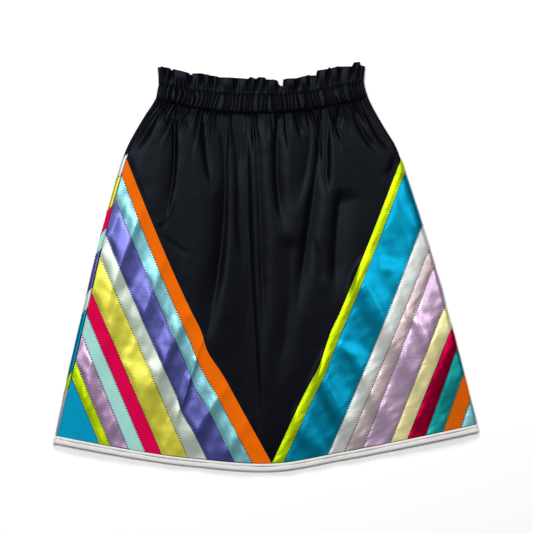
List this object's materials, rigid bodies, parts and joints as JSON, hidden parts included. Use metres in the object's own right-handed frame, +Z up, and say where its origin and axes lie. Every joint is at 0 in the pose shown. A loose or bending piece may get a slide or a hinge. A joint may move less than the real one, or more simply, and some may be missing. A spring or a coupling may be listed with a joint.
{
  "type": "ribbon skirt",
  "caption": "Knee-length A-line ribbon skirt in dark taffeta, gathered elastic waist with a ruffle, diagonal satin ribbons and a bound hem, laid flat.",
  "frame": {"origin": "on the surface that the skirt lies on, under the middle of its outline", "axes": "+X to the right of the front as it is seen, +Y from the hem to the waist, +Z up out of the front"},
  "size_m": [0.6394, 0.6154, 0.0145],
  "materials": {
    "taffeta": "dark navy taffeta with a soft sheen",
    "binding": "silver-white satin",
    "orange": "orange satin",
    "aqua": "aqua satin",
    "periwinkle": "periwinkle satin",
    "silver": "silver-grey satin",
    "gold": "golden yellow satin",
    "crimson": "crimson satin",
    "mint": "mint satin",
    "lilac": "lilac satin",
    "lime": "lime satin",
    "blue": "blue satin",
    "pink": "pale pink satin",
    "straw": "pale yellow satin",
    "teal": "teal satin"
  },
  "bodies": {
    "root": {"front_panel": "taffeta", "back_panel": "taffeta", "front_casing": "taffeta", "back_casing": "taffeta", "front_ruffle": "taffeta", "back_ruffle": "taffeta", "pocket_bag_left": "taffeta", "pocket_bag_right": "taffeta", "front_hem_binding": "binding", "back_hem_binding": "binding", "front_left_ribbon_1_orange": "orange", "front_left_ribbon_2_aqua": "aqua", "front_left_ribbon_3_periwinkle": "periwinkle", "front_left_ribbon_4_silver": "silver", "front_left_ribbon_5_gold": "gold", "front_left_ribbon_6_crimson": "crimson", "front_left_ribbon_7_mint": "mint", "front_left_ribbon_8_lilac": "lilac", "front_left_ribbon_9_lime": "lime", "front_left_ribbon_10_blue": "blue", "front_right_ribbon_1_lime": "lime", "front_right_ribbon_2_blue": "blue", "front_right_ribbon_3_silver": "silver", "front_right_ribbon_4_pink": "pink", "front_right_ribbon_5_lilac": "lilac", "front_right_ribbon_6_straw": "straw", "front_right_ribbon_7_crimson": "crimson", "front_right_ribbon_8_teal": "teal", "front_right_ribbon_9_orange": "orange", "front_right_ribbon_10_aqua": "aqua", "back_left_ribbon_1_cream": "silver", "back_left_ribbon_2_gold": "gold", "back_left_ribbon_3_crimson": "crimson", "back_left_ribbon_4_mint": "mint", "back_left_ribbon_5_periwinkle": "periwinkle", "back_left_ribbon_6_silver": "silver", "back_left_ribbon_7_blue": "blue", "back_left_ribbon_8_lime": "lime", "back_left_ribbon_9_pink": "pink", "back_right_ribbon_1_teal": "teal", "back_right_ribbon_2_lilac": "lilac", "back_right_ribbon_3_orange": "orange", "back_right_ribbon_4_straw": "straw", "back_right_ribbon_5_aqua": "aqua", "back_right_ribbon_6_crimson": "crimson", "back_right_ribbon_7_blue": "blue", "back_right_ribbon_8_lime": "lime", "back_right_ribbon_9_silver": "silver"}
  },
  "joints": []
}
